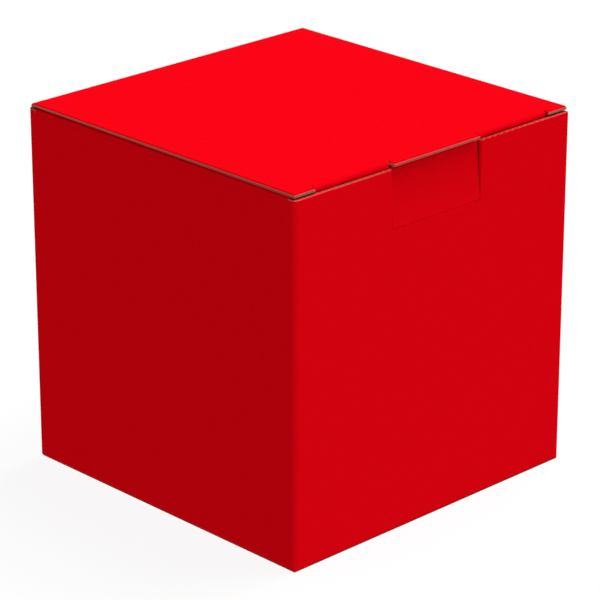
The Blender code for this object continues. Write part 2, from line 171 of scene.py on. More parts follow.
# Colours, each from its darkest to its lightest
INK = ((0.823, 0.0007, 0.0060), (0.839, 0.0010, 0.0068))
BARE_KRAFT = ((0.40, 0.245, 0.135), (0.56, 0.375, 0.225))
CUT_LINER = ((0.76, 0.072, 0.064), (0.88, 0.098, 0.088))
# The cut medium and inner liner: their own paper, made darker than the outer liner's cut as painted shade on
# the lower part of a cut edge.
CUT_MEDIUM_AND_SHADE = ((0.54, 0.078, 0.052), (0.68, 0.108, 0.076))
CUT_FLUTES = ((0.36, 0.155, 0.085), (0.47, 0.20, 0.115))
TEXTURE_PERIOD = math.pi / 10  # of Blender's wave texture at scale 1

# Camera and light
SENSOR = 36.0
LENS = 183.65
CAMERA_AT = (-793.13, -818.40, 523.77)
CAMERA_LOOKS = (0.64662, 0.66671, -0.37065)
CAMERA_CLIP = (0.05, 50.0)  # in metres, as is the floor's size
AMBIENT = 0.442
FLOOR_SIZE = 15.0
FLOOR_DROP = 0.1
FLOOR_SHADE = 0.10  # the part of its white that the lamps give, and so the depth of its shadow
FLOOR_GLOW = 0.90
STOOD_ON = 74.0  # half the width of a square of floor whose glow is cut: a painted shadow under the box, which shows as a thin dark line at its foot

# The finishes of a board, in the order of its materials
PRINT, KRAFT, EDGE, CORE, FLUTE_END = range(5)


def add_camera():
    data = bpy.data.cameras.new("camera")
    data.sensor_width = SENSOR
    data.lens = LENS
    camera = bpy.data.objects.new("camera", data)
    camera.location = Vector(CAMERA_AT) * MM
    camera.rotation_euler = Vector(CAMERA_LOOKS).to_track_quat("-Z", "Y").to_euler()
    data.clip_start, data.clip_end = CAMERA_CLIP
    bpy.context.scene.collection.objects.link(camera)
    bpy.context.scene.camera = camera


def add_sun(name, towards, strength, angle_deg):
    data = bpy.data.lights.new(name, "SUN")
    data.energy = strength
    data.angle = math.radians(angle_deg)
    sun = bpy.data.objects.new(name, data)
    sun.rotation_euler = Vector(towards).to_track_quat("Z", "Y").to_euler()
    bpy.context.scene.collection.objects.link(sun)


def seen_directly(nodes, links):
    """1 for what the camera sees, straight or in a gloss, and 0 for the light that falls on the box."""
    path = nodes.new("ShaderNodeLightPath")
    total = None
    for name in ("Is Camera Ray", "Is Glossy Ray", "Is Transmission Ray"):
        if total is None:
            total = path.outputs[name]
            continue
        add = nodes.new("ShaderNodeMath")
        add.operation = "MAXIMUM"
        links.new(total, add.inputs[0])
        links.new(path.outputs[name], add.inputs[1])
        total = add.outputs[0]
    return total


def add_world():
    world = bpy.data.worlds.new("studio")
    world.use_nodes = True
    nodes, links = world.node_tree.nodes, world.node_tree.links
    nodes.clear()
    shown = nodes.new("ShaderNodeBackground")
    shown.inputs["Strength"].default_value = 1.0
    light = nodes.new("ShaderNodeBackground")
    light.inputs["Strength"].default_value = AMBIENT
    for background in (shown, light):
        background.inputs["Color"].default_value = (1, 1, 1, 1)
    mix = nodes.new("ShaderNodeMixShader")
    links.new(seen_directly(nodes, links), mix.inputs[0])
    links.new(light.outputs[0], mix.inputs[1])
    links.new(shown.outputs[0], mix.inputs[2])
    links.new(mix.outputs[0], nodes.new("ShaderNodeOutputWorld").inputs[0])
    bpy.context.scene.world = world


def painted_shadow_square(nodes, links):
    """1 on the floor that the box stands on, and 0 around it: the square of painted shadow."""
    distance = nodes.new("ShaderNodeVectorMath")
    distance.operation = "ABSOLUTE"
    links.new(nodes.new("ShaderNodeNewGeometry").outputs["Position"], distance.inputs[0])
    apart = nodes.new("ShaderNodeSeparateXYZ")
    links.new(distance.outputs[0], apart.inputs[0])
    widest = nodes.new("ShaderNodeMath")
    widest.operation = "MAXIMUM"
    links.new(apart.outputs["X"], widest.inputs[0])
    links.new(apart.outputs["Y"], widest.inputs[1])
    inside = nodes.new("ShaderNodeMath")
    inside.operation = "LESS_THAN"
    inside.inputs[1].default_value = STOOD_ON * MM
    links.new(widest.outputs[0], inside.inputs[0])
    return inside.outputs[0]


def add_floor():
    mesh = bpy.data.meshes.new("floor")
    bm = bmesh.new()
    bmesh.ops.create_grid(bm, x_segments=4, y_segments=4, size=FLOOR_SIZE)
    bm.to_mesh(mesh)
    bm.free()
    floor = bpy.data.objects.new("floor", mesh)
    floor.location.z = -FLOOR_DROP * MM
    bpy.context.scene.collection.objects.link(floor)
    material = bpy.data.materials.new("pale_floor")
    material.use_nodes = True
    nodes, links = material.node_tree.nodes, material.node_tree.links
    nodes.clear()
    shade = nodes.new("ShaderNodeBsdfDiffuse")
    shade.inputs["Color"].default_value = (FLOOR_SHADE, FLOOR_SHADE, FLOOR_SHADE, 1)
    glow = nodes.new("ShaderNodeEmission")
    glow.inputs["Color"].default_value = (1, 1, 1, 1)
    # Painted shadow: no glow in the square under the box, so the floor there is dark and a thin dark line shows
    # along the box's foot.
    dimmed = nodes.new("ShaderNodeMapRange")
    dimmed.inputs["To Min"].default_value = FLOOR_GLOW
    dimmed.inputs["To Max"].default_value = 0.0
    links.new(painted_shadow_square(nodes, links), dimmed.inputs["Value"])
    links.new(dimmed.outputs[0], glow.inputs["Strength"])
    shown = nodes.new("ShaderNodeAddShader")
    links.new(shade.outputs[0], shown.inputs[0])
    links.new(glow.outputs[0], shown.inputs[1])
    light = nodes.new("ShaderNodeEmission")
    light.inputs["Color"].default_value = (1, 1, 1, 1)
    light.inputs["Strength"].default_value = AMBIENT
    mix = nodes.new("ShaderNodeMixShader")
    links.new(seen_directly(nodes, links), mix.inputs[0])
    links.new(light.outputs[0], mix.inputs[1])
    links.new(shown.outputs[0], mix.inputs[2])
    from_below = nodes.new("ShaderNodeMixShader")
    links.new(nodes.new("ShaderNodeNewGeometry").outputs["Backfacing"], from_below.inputs[0])
    links.new(mix.outputs[0], from_below.inputs[1])
    links.new(nodes.new("ShaderNodeBsdfTransparent").outputs[0], from_below.inputs[2])
    links.new(from_below.outputs[0], nodes.new("ShaderNodeOutputMaterial").inputs[0])
    mesh.materials.append(material)
    floor.visible_shadow = False  # so that the light that stands for its bounce comes through from below


def new_material(name, roughness, specular):
    material = bpy.data.materials.new(name)
    material.use_nodes = True
    shader = material.node_tree.nodes["Principled BSDF"]
    shader.inputs["Roughness"].default_value = roughness
    shader.inputs["Specular IOR Level"].default_value = specular
    return material, material.node_tree.nodes, material.node_tree.links, shader


def noise(nodes, links, vector, scale, detail=2.0, stretch=(1, 1, 1)):
    """Noise in metres, drawn out along an axis where stretch is below 1."""
    mapping = nodes.new("ShaderNodeMapping")
    mapping.inputs["Scale"].default_value = stretch
    links.new(vector, mapping.inputs["Vector"])
    texture = nodes.new("ShaderNodeTexNoise")
    texture.inputs["Scale"].default_value = scale
    texture.inputs["Detail"].default_value = detail
    links.new(mapping.outputs[0], texture.inputs["Vector"])
    return texture.outputs["Fac"]


def between(nodes, links, fac, low, high, colours):
    """The first colour up to low, the second from high, and a blend between."""
    dark, light = colours
    ramp = nodes.new("ShaderNodeValToRGB")
    ramp.color_ramp.elements[0].position = low
    ramp.color_ramp.elements[0].color = (*dark, 1)
    ramp.color_ramp.elements[1].position = high
    ramp.color_ramp.elements[1].color = (*light, 1)
    links.new(fac, ramp.inputs[0])
    return ramp.outputs[0]


def bump(nodes, links, height, distance, strength, normal=None):
    node = nodes.new("ShaderNodeBump")
    node.inputs["Distance"].default_value = distance
    node.inputs["Strength"].default_value = strength
    links.new(height, node.inputs["Height"])
    if normal:
        links.new(normal, node.inputs["Normal"])
    return node.outputs["Normal"]


def painted_shade_upwards(nodes, links, colour, at):
    """The colour as it is at the lock tab's crease, and darker towards its top: painted shade from the lid's
    lip.
    """
    height = nodes.new("ShaderNodeSeparateXYZ")
    links.new(at, height.inputs[0])
    share = nodes.new("ShaderNodeMapRange")
    share.inputs["From Max"].default_value = TAB_HEIGHT * MM
    share.inputs["To Min"].default_value = 1.0
    share.inputs["To Max"].default_value = TAB_TOP_SHARE
    links.new(height.outputs["Y"], share.inputs["Value"])
    scaled = nodes.new("ShaderNodeVectorMath")
    scaled.operation = "SCALE"
    links.new(colour, scaled.inputs[0])
    links.new(share.outputs[0], scaled.inputs["Scale"])
    return scaled.outputs[0]


def printed_board(name, painted_lip_shade=False):
    """Red ink on a smooth liner: faintly mottled, with the grain and the flutes just showing through."""
    material, nodes, links, shader = new_material(name, roughness=0.55, specular=0.0005)
    at = nodes.new("ShaderNodeTexCoord").outputs["Object"]
    mottle = noise(nodes, links, at, scale=420.0, detail=3.0)
    flutes = nodes.new("ShaderNodeUVMap")
    flutes.uv_map = "flutes"
    ink = between(nodes, links, mottle, low=0.3, high=0.7, colours=INK)
    # On the lock tab the ink gets painted shade: darker towards the tab's top, under the lid's lip.
    if painted_lip_shade:
        ink = painted_shade_upwards(nodes, links, ink, flutes.outputs[0])
    links.new(ink, shader.inputs["Base Color"])
    wave = nodes.new("ShaderNodeTexWave")
    wave.wave_profile = "SIN"
    wave.inputs["Scale"].default_value = TEXTURE_PERIOD / (PITCH * MM)
    links.new(flutes.outputs[0], wave.inputs["Vector"])
    washboard = bump(nodes, links, wave.outputs["Fac"], distance=0.02 * MM, strength=1.0)
    grain = noise(nodes, links, at, scale=2600.0, detail=3.0)
    grained = bump(nodes, links, grain, distance=0.006 * MM, strength=0.5, normal=washboard)
    links.new(grained, shader.inputs["Normal"])
    return material


def kraft_board():
    """Bare kraft liner: fibres along the board, flecks of darker pulp."""
    material, nodes, links, shader = new_material("bare_kraft", roughness=0.9, specular=0.1)
    flutes = nodes.new("ShaderNodeUVMap")
    flutes.uv_map = "flutes"
    at = nodes.new("ShaderNodeTexCoord").outputs["Object"]
    fibres = noise(nodes, links, flutes.outputs[0], scale=2200.0, detail=4.0, stretch=(1, 0.12, 1))
    colour = between(nodes, links, fibres, low=0.28, high=0.72, colours=BARE_KRAFT)
    links.new(colour, shader.inputs["Base Color"])
    grain = noise(nodes, links, at, scale=1800.0, detail=4.0)
    links.new(bump(nodes, links, grain, distance=0.03 * MM, strength=0.6), shader.inputs["Normal"])
    return material


def cut_paper(name, colours):
    """Where the die cut the board: open fibre."""
    material, nodes, links, shader = new_material(name, roughness=0.95, specular=0.05)
    at = nodes.new("ShaderNodeTexCoord").outputs["Object"]
    fibres = noise(nodes, links, at, scale=2500.0, detail=4.0)
    links.new(between(nodes, links, fibres, low=0.3, high=0.7, colours=colours), shader.inputs["Base Color"])
    links.new(bump(nodes, links, fibres, distance=0.05 * MM, strength=0.7), shader.inputs["Normal"])
    return material


def arc_lines(start, length, way):
    """The lines across half a fold: its support, its facets and the fine one at its seam."""
    seam = FOLD * math.radians(SEAM_DEG)
    lines = [start - way * SUPPORT, start]
    lines += [start + way * (length - seam) * step / ARC_STEPS for step in range(1, ARC_STEPS + 1)]
    return lines


def flat_pieces(outline, u_lines, v_lines, ringed=False):
    """The outline as one flat mesh, divided along the lines, with rings of faces for its crushed edge."""
    bm = bmesh.new()
    middle = bm.faces.new([bm.verts.new((u, v, 0)) for u, v in outline])
    if ringed:
        for width in CRUSH_RINGS:
            bmesh.ops.inset_region(
                bm, faces=[middle], thickness=width, use_boundary=True, use_even_offset=True,
            )
    for normal, lines in (((1, 0, 0), u_lines), ((0, 1, 0), v_lines)):
        for line in lines:
            bmesh.ops.bisect_plane(
                bm, geom=bm.verts[:] + bm.edges[:] + bm.faces[:], dist=BISECT_NEAR,
                plane_co=line * Vector(normal), plane_no=normal,
            )
    return bm


def blended(start, end, t):
    return [p + (q - p) * t for p, q in zip(start, end)]


def joined_axis(a, b, joined):
    """The axis that a joined side keeps to, or None for a side that is cut."""
    for axis, value in joined:
        if abs(a[axis] - value) < NEAR and abs(b[axis] - value) < NEAR:
            return axis
    return None


def raw_edges(outline, joined, opening=(), widest=PRESSED, across=ACROSS):
    """The outline's sides that are cut, with the way inwards and the crush at their ends. joined lists the
    lines of u or v where another piece carries on, and opening those where a cut widens towards its top."""
    edges = []
    for a, b in zip(outline, outline[1:] + outline[:1]):
        if joined_axis(a, b, joined) is not None:
            continue
        along = (Vector(b) - Vector(a)).normalized()
        inward = Vector((-along.y, along.x))
        shape = blended(across, ALONG, abs(inward.x))
        shapes = (shape, shape)
        if joined_axis(a, b, opening) is not None:
            shapes = (widest, CLOSED) if a[1] > b[1] else (CLOSED, widest)
        edges.append((Vector(a), Vector(b), inward, shapes))
    return edges


def guard_lines(outline, joined):
    """Lines of u and of v that keep a cut side's crush from running on along the joined side beside it."""
    lines = ([], [])
    for index, at in enumerate(outline):
        before, after = outline[index - 1], outline[(index + 1) % len(outline)]
        axes = joined_axis(before, at, joined), joined_axis(at, after, joined)
        if (axes[0] is None) == (axes[1] is None):
            continue
        axis, far, cut = (axes[0], before, after) if axes[1] is None else (axes[1], after, before)
        run = 1 - axis
        sine = abs((Vector(cut) - Vector(at)).normalized()[axis])
        way = math.copysign(1, far[run] - at[run])
        lines[run].extend(at[run] + way * width / sine for width in (CRUSH_RINGS[0], CRUSH_WIDTH))
    return lines


def crush_at(at, edges):
    """How crushed a point is, from 0 to 1, the crush's four measures there, and the way inwards."""
    nearest, ways, shape = CRUSH_WIDTH, [], None
    for a, b, inward, shapes in edges:
        along = b - a
        t = min(1.0, max(0.0, (at - a).dot(along) / along.length_squared))
        distance = (at - a - t * along).length
        if distance < nearest - NEAR:
            nearest, ways, shape = distance, [inward], blended(*shapes, t)
        elif ways and distance < nearest + NEAR:
            ways.append(inward)
            shape = max(shape, blended(*shapes, t))
    if not ways:
        return 0.0, (0.0,) * 4, Vector((0, 0))
    crushed = (1 - nearest / CRUSH_WIDTH) ** 2
    way = ways[0] if len(ways) < 2 else (ways[0] + ways[1]) / max(SHARPEST, 1 + ways[0].dot(ways[1]))
    return crushed, [crushed * part for part in shape], way


def outer_liner(u, crushed, dip, rise):
    return dip, dip + LINER + SWELL * crushed


def inner_liner(u, crushed, dip, rise):
    paper = LINER + SWELL * crushed
    return max(dip + paper, BOARD - rise - paper), BOARD - rise


def fluted_medium(u, crushed, dip, rise):
    """A wave between the liners, with a crest against the outer one under the lid's side edges."""
    low, high = outer_liner(u, crushed, dip, rise)[1], inner_liner(u, crushed, dip, rise)[0]
    half = min(MEDIUM, high - low) / 2
    wave = math.cos(2 * math.pi * (u - LID_HALF) / PITCH)
    middle = (low + high) / 2 - ((high - low) / 2 - half) * wave
    return middle - half, middle + half


def crushed_board(u, crushed, dip, rise):
    return dip, BOARD - rise


def add_layer(bm, uv, flat, place, depths, edges, finishes, opening=(), flute_ends=()):
    """A closed layer of the flat mesh, with its outer, inner and side finishes. Its sides on the lines in
    opening are printed, and those on the lines in flute_ends are browner than other cuts."""
    outer, inner = {}, {}
    for vert in flat.verts:
        crushed, (dip, rise, lean, bevel), way = crush_at(vert.co.xy, edges)
        for side, depth in zip((outer, inner), depths(vert.co.x, crushed, dip, rise)):
            back = bevel if depth - dip < TINY else lean * depth / BOARD
            u, v = vert.co.xy + way * back
            side[vert] = bm.verts.new(Vector(place(u, v, depth)) * MM)

    def face(corners, finish):
        made = bm.faces.new([side[vert] for side, vert in corners])
        made.material_index = finish
        for loop, (_, vert) in zip(made.loops, corners):
            loop[uv].uv = vert.co.xy * MM

    for piece in flat.faces:
        face([(outer, vert) for vert in piece.verts], finishes[0])
        face([(inner, vert) for vert in reversed(piece.verts)], finishes[1])
    for edge in flat.edges:
        if edge.is_boundary:
            a, b = edge.verts
            finish = finishes[2]
            if joined_axis(a.co, b.co, opening) is not None:
                finish = PRINT
            elif joined_axis(a.co, b.co, flute_ends) is not None:
                finish = FLUTE_END
            face([(outer, a), (outer, b), (inner, b), (inner, a)], finish)


def finish_mesh(name, bm, materials):
    bmesh.ops.recalc_face_normals(bm, faces=bm.faces)
    mesh = bpy.data.meshes.new(name)
    bm.to_mesh(mesh)
    bm.free()
    for polygon in mesh.polygons:
        polygon.use_smooth = True
    mesh.set_sharp_from_angle(angle=math.radians(SHARP_DEG))
    for material in materials:
        mesh.materials.append(material)
    made = bpy.data.objects.new(name, mesh)
    bpy.context.scene.collection.objects.link(made)
    return made


def shade_by_area(piece):
    """Lets the large flats set the normals that they share with the narrow faces beside them."""
    weighted = piece.modifiers.new("normals", "WEIGHTED_NORMAL")
    weighted.mode = "FACE_AREA"
    weighted.weight = 100
    weighted.keep_sharp = True
    return piece


def board(
    name, outline, place, u_lines=(), v_lines=(), joined=None, flute_ends=(), materials=None, **cuts,
):
    """A panel of two liners with the fluted medium between them. Without joined its edges aren't crushed. The
    cuts are what raw_edges takes beyond the outline and joined."""
    bm = bmesh.new()
    uv = bm.loops.layers.uv.new("flutes")
    ringed = joined is not None
    edges = raw_edges(outline, joined, **cuts) if ringed else []
    opening = cuts.get("opening", ())
    guards = guard_lines(outline, joined) if ringed else ([], [])
    u_lines = [*u_lines, *guards[0]]
    v_lines = [*v_lines, *guards[1]]
    step = PITCH / WAVE_STEPS
    first = math.ceil((min(u for u, _ in outline) - LID_HALF) / step)
    last = math.floor((max(u for u, _ in outline) - LID_HALF) / step)
    waves = [LID_HALF + step * index for index in range(first, last + 1)]
    plain = flat_pieces(outline, u_lines, v_lines, ringed)
    add_layer(bm, uv, plain, place, outer_liner, edges, (PRINT, CORE, EDGE), opening)
    add_layer(bm, uv, plain, place, inner_liner, edges, (CORE, KRAFT, CORE), opening, flute_ends)
    plain.free()
    waved = flat_pieces(outline, sorted({*waves, *u_lines}), v_lines, ringed)
    add_layer(bm, uv, waved, place, fluted_medium, edges, (CORE, CORE, CORE), opening, flute_ends)
    waved.free()
    return shade_by_area(finish_mesh(name, bm, materials or MATERIALS))


def crease(name, outline, place, v_lines, closed=()):
    """A fold that moves: its board is pressed solid. Its first and last lines of v are joined, and its ends
    are cut, apart from those on the lines of u in closed."""
    bm = bmesh.new()
    uv = bm.loops.layers.uv.new("flutes")
    joined = [(V, min(v for _, v in outline)), (V, max(v for _, v in outline)), *((U, u) for u in closed)]
    guards = guard_lines(outline, joined)
    flat = flat_pieces(outline, guards[0], [*v_lines, *guards[1]])
    add_layer(bm, uv, flat, place, crushed_board, raw_edges(outline, joined), (PRINT, KRAFT, CORE))
    flat.free()
    return finish_mesh(name, bm, MATERIALS)


def turned(turn_deg, x, y, z):
    """A point given in a side's own axes, x along its wall and y from the wall's face into the box."""
    angle = math.radians(turn_deg)
    y -= HALF
    return (x * math.cos(angle) - y * math.sin(angle), x * math.sin(angle) + y * math.cos(angle), z)


FRONT, RIGHT, BACK, LEFT = 0, 90, 180, 270


def wall_place(turn_deg, low_fold=FOLD_START, high_fold=FOLD_START):
    """Places a wall's points: round the upright folds at its ends, and the bottom's fold at its foot."""

    def place(u, v, d):
        start = high_fold if u > 0 else low_fold
        way = 1 if u > 0 else -1
        over = abs(u) - start
        if over > TINY:
            angle = min(over / FOLD, QUARTER)
            x = way * (start + (FOLD - d) * math.sin(angle))
            y = FOLD - (FOLD - d) * math.cos(angle) + max(0, over - FOLD * QUARTER)
            return turned(turn_deg, x, y, v)
        if v < FOLD and abs(u) < SLIT:
            angle = (FOLD - v) / FOLD
            y, z = (FOLD - (FOLD - d) * part for part in (math.cos(angle), math.sin(angle)))
            return turned(turn_deg, u, y, z)
        return turned(turn_deg, u, d, v)

    return place


def flipped(corners, way):
    """The outline turned over where way is -1, still anticlockwise."""
    return corners if way > 0 else [(-u, *rest) for u, *rest in reversed(corners)]


def mirrored(corners):
    return corners + [(-u, *rest) for u, *rest in reversed(corners)]


def rounded(corners, steps=6):
    """An outline from (u, v, radius) corners."""
    points = []
    for index, (u, v, radius) in enumerate(corners):
        if not radius:
            points.append((u, v))
            continue
        here = Vector((u, v))
        before = (Vector(corners[index - 1][:2]) - here).normalized()
        after = (Vector(corners[(index + 1) % len(corners)][:2]) - here).normalized()
        half = before.angle(after) / 2
        centre = here + (before + after).normalized() * radius / math.sin(half)
        first = here + before * radius / math.tan(half) - centre
        last = here + after * radius / math.tan(half) - centre
        sweep = first.angle_signed(last)
        for step in range(steps + 1):
            points.append(tuple(centre + Matrix.Rotation(-sweep * step / steps, 2) @ first))
    return points


# The slits between the bottom's folds and the lower corners, too narrow to show a crush
SLIT_SIDES = [(U, way * u) for u in (ROOT, BACK_ROOT, FOLD_START, GLUED_FOLD) for way in (1, -1)]
LOWER_SLITS = SLIT_SIDES + [(V, FOLD)]


def corner(way, start):
    """A wall's lower corner, from the end of the bottom's fold to that of the upright one."""
    return [(way * start, FOLD), (way * start, FOOT), (way * (start + EIGHTH_END), FOOT)]


def put(piece, node, body):
    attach(piece, body)
    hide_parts(node)


def make_walls():
    bottom_lines = arc_lines(FOLD, EIGHTH_END, -1)
    upright = arc_lines(FOLD_START, EIGHTH_END, 1)
    both = upright + [-line for line in upright]
    folds = [(V, BOTTOM_END), (U, UPRIGHT_END), (U, -UPRIGHT_END)] + LOWER_SLITS
    pieces = {}
    outline = mirrored([
        (ROOT, BOTTOM_END), (ROOT, FOLD), *corner(1, FOLD_START), (UPRIGHT_END, WALL_TOP),
        (NOTCH_HALF, WALL_TOP), (NOTCH_HALF, NOTCH_FOOT),
    ])
    notch_height = WALL_TOP - NOTCH_FOOT
    beside_tab = [NOTCH_FOOT + notch_height * step / NOTCH_STEPS for step in range(1, NOTCH_STEPS)]
    pieces["front_wall"] = board(
        "front_wall_board", outline, wall_place(FRONT), both, bottom_lines + beside_tab,
        folds + [(V, NOTCH_FOOT)], opening=[(U, NOTCH_HALF), (U, -NOTCH_HALF)], across=WALL_EDGE,
    )
    sides = (("left_wall", LEFT, 1, FOLD_START, ROOT), ("right_wall", RIGHT, -1, GLUED_FOLD, BACK_ROOT))
    for name, turn, front, back, root in sides:
        outline = [
            (-root, BOTTOM_END), (ROOT, BOTTOM_END), (ROOT, FOLD), *corner(1, FOLD_START),
            (UPRIGHT_END, WALL_TOP), (FRONT_POST, WALL_TOP), (FRONT_POST, DUST_TOP - FOLD),
            (-BACK_POST, DUST_TOP - FOLD), (-BACK_POST, WALL_TOP), (-back - EIGHTH_END, WALL_TOP),
            *reversed(corner(-1, back)), (-root, FOLD),
        ]
        ends = upright + [-line for line in arc_lines(back, EIGHTH_END, 1)]
        low_fold, high_fold = (back, FOLD_START) if front > 0 else (FOLD_START, back)
        joined = [
            *folds, (U, -front * (back + EIGHTH_END)), (V, DUST_TOP - FOLD), (U, front * FRONT_POST),
            (U, -front * BACK_POST),
        ]
        pieces[name] = board(
            name + "_board", flipped(outline, front), wall_place(turn, low_fold, high_fold),
            [front * line for line in ends], bottom_lines, joined,
        )
    outline = [
        (ROOT, BOTTOM_END), (ROOT, FOLD), *corner(1, FOLD_START), (UPRIGHT_END, HEIGHT - FOLD),
        (-BACK_EDGE, HEIGHT - FOLD), (-BACK_EDGE, FOLD), (-ROOT, FOLD), (-ROOT, BOTTOM_END),
    ]
    pieces["back_wall"] = board(
        "back_wall_board", outline, wall_place(BACK, NO_FOLD), upright, bottom_lines,
        [*folds[:2], (V, HEIGHT - FOLD)],
    )
    start = GLUED_FOLD + EIGHTH_END
    end = GLUED_FOLD + FOLD * QUARTER
    outline = [
        (start, GLUE_FOOT), (end + GLUE_REACH, GLUE_FOOT), (end + GLUE_REACH, GLUE_TOP), (start, GLUE_TOP),
    ]
    lines = [start + FOLD * math.radians(SEAM_DEG)]
    lines += [start + (end - start) * step / ARC_STEPS for step in range(1, ARC_STEPS + 1)] + [end + SUPPORT]
    place = wall_place(RIGHT, FOLD_START, GLUED_FOLD)
    pieces["glue_flap"] = board("glue_flap_board", outline, place, lines, (), [(U, start)])
    for node, piece in pieces.items():
        put(piece, node, "carton")


class Profile:
    """The middle line of bent board, seen from the side. Its rows hold the length so far, the distance
    across, the height and the way that it runs. print_side is 1 for print on its right, -1 on its left."""

    def __init__(self, across, up, heading_deg, print_side):
        self.print_side = print_side
        self.rows = [(0.0, across, up, math.radians(heading_deg))]

    @classmethod
    def round(cls, centre, fold, from_deg, to_deg, seams=(False, False)):
        """A fold: its centre, its outer radius, and the angles that the printed face looks to. A seam has a
        fine facet."""
        way = math.copysign(1, to_deg - from_deg)
        middle = fold - BOARD / 2
        angle = math.radians(from_deg)
        across, up = centre[0] + middle * math.cos(angle), centre[1] + middle * math.sin(angle)
        made = cls(across, up, from_deg + 90 * way, way)
        fine = [SEAM_DEG if seam else 0.0 for seam in seams]
        total = abs(to_deg - from_deg)
        steps = max(2, round((total - sum(fine)) / HALF_FOLD_DEG * ARC_STEPS))
        for turn in [fine[0]] + [(total - sum(fine)) / steps] * steps + [fine[1]]:
            if turn:
                made.turn(way * turn, middle, 1)
        return made

    def ahead(self, length):
        s, across, up, heading = self.rows[-1]
        end = across + length * math.cos(heading), up + length * math.sin(heading)
        self.rows.append((s + length, *end, heading))
        return self

    def turn(self, turn_deg, radius, steps):
        """An arc of the middle line: its rows lie on it."""
        turn = math.radians(turn_deg) / steps
        for _ in range(steps):
            s, across, up, heading = self.rows[-1]
            chord = 2 * radius * math.sin(abs(turn) / 2)
            way = heading + turn / 2
            end = across + chord * math.cos(way), up + chord * math.sin(way)
            self.rows.append((s + radius * abs(turn), *end, heading + turn))
        return self

    def ahead_to(self, across):
        return self.ahead(abs(across - self.rows[-1][1]) / abs(math.cos(self.rows[-1][3])))

    def rise(self, height, slope_deg):
        """A soft step up: a bend, a slope and the bend back."""
        slope = math.radians(slope_deg)
        straight = (height - 2 * JOGGLE * (1 - math.cos(slope))) / math.sin(slope)
        self.turn(slope_deg, JOGGLE, RISE_STEPS)
        self.ahead(SUPPORT).ahead(straight - 2 * SUPPORT).ahead(SUPPORT)
        return self.turn(-slope_deg, JOGGLE, RISE_STEPS)

    def lines(self, column):
        return [row[column] for row in self.rows[1:-1]]

    def at(self, value, column, d):
        """The point at depth d where the LENGTH or SPAN column of the rows has a value."""
        rows = self.rows
        index = 0
        while index < len(rows) - 2 and value > rows[index + 1][column]:
            index += 1
        a, b = rows[index], rows[index + 1]
        t = (value - a[column]) / (b[column] - a[column])
        _, across, up, heading = (p + (q - p) * t for p, q in zip(a, b))
        look = heading - self.print_side * QUARTER
        out = BOARD / 2 - d
        return across + out * math.cos(look), up + out * math.sin(look)


def profile_place(turn_deg, profile, column):
    def place(u, v, d):
        across, up = profile.at(v, column, d)
        return turned(turn_deg, u, across, up)

    return place


def bottom_profile():
    return Profile.round(
        (FOLD, FOLD), FOLD, from_deg=225, to_deg=270, seams=(True, False),
    ).ahead(SUPPORT)


def bottom_flap(name, turn_deg, profile, outline):
    start = profile.rows[0][1]
    points = [(u, start if v == AT_FOLD else v) for u, v in rounded(outline)]
    piece = board(name + "_board", points, profile_place(turn_deg, profile, SPAN), (), profile.lines(SPAN))
    put(piece, name, "carton")


def make_bottom():
    """The tongue's panel lies lowest, then the side flaps, then the slot flap, and the tongue on top."""
    sides = (("bottom_left_flap", LEFT, 1, ROOT), ("bottom_right_flap", RIGHT, -1, BACK_ROOT))
    for name, turn, front, root in sides:
        profile = bottom_profile().rise(LEVEL, slope_deg=20).ahead(SUPPORT).ahead_to(SIDE_FLAP_REACH)
        bottom_flap(name, turn, profile, [
            (-front * root, AT_FOLD, 0), (front * ROOT, AT_FOLD, 0), (front * ROOT, FOLD, 0),
            (front * SIDE_FLAP_FRONT[0], SIDE_FLAP_TAPER, 0),
            (front * SIDE_FLAP_FRONT[1], SIDE_FLAP_REACH, BOTTOM_CORNER),
            (-front * SIDE_FLAP_BACK[1], SIDE_FLAP_REACH, BOTTOM_CORNER),
            (-front * SIDE_FLAP_BACK[0], SIDE_FLAP_TAPER, 0), (-front * root, FOLD, 0),
        ])
    neck = [(ROOT, AT_FOLD, 0), (ROOT, SHOULDER, 0), (NECK, SHOULDER, 0)]
    profile = bottom_profile().rise(2 * LEVEL, slope_deg=25).ahead(SUPPORT).ahead_to(SLOT_FLAP_REACH)
    bottom_flap("bottom_slot_flap", BACK, profile, mirrored([
        *neck, (SLOT_FLAP_HALF[0], SLOT_FLAP_TAPER, 0), (SLOT_FLAP_HALF[1], SLOT_FLAP_REACH, 0),
        (SLOT_HALF[1], SLOT_FLAP_REACH, 0), (SLOT_HALF[0], SLOT_FLAP_TAPER, 0),
        (SLOT_HALF[0], SLOT_FOOT, BOTTOM_CORNER),
    ]))
    profile = bottom_profile().ahead_to(TONGUE_PANEL).rise(3 * LEVEL, slope_deg=20)
    profile.ahead(SUPPORT).ahead_to(TONGUE_REACH)
    bottom_flap("bottom_tongue_flap", FRONT, profile, mirrored([
        *neck, (TONGUE_PANEL_HALF, TONGUE_SHOULDER, BOTTOM_CORNER), (TONGUE_HALF[0], TONGUE_SHOULDER, 0),
        (TONGUE_HALF[1], TONGUE_REACH, BOTTOM_CORNER),
    ]))


def strip(name, turn_deg, profile, outline, closed=()):
    """A moving crease, in (u, length) from its first body's panel to its second's."""
    length = profile.rows[-1][0]
    points = [(u, length * v) for u, v in outline]
    place = profile_place(turn_deg, profile, LENGTH)
    piece = crease(name, points, place, profile.lines(LENGTH), closed)
    middle = sum(u for u, _ in points) / len(points)
    Vector(place(middle, 0, 0)) * MM
    Vector(place(middle, length, 0)) * MM
    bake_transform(piece)


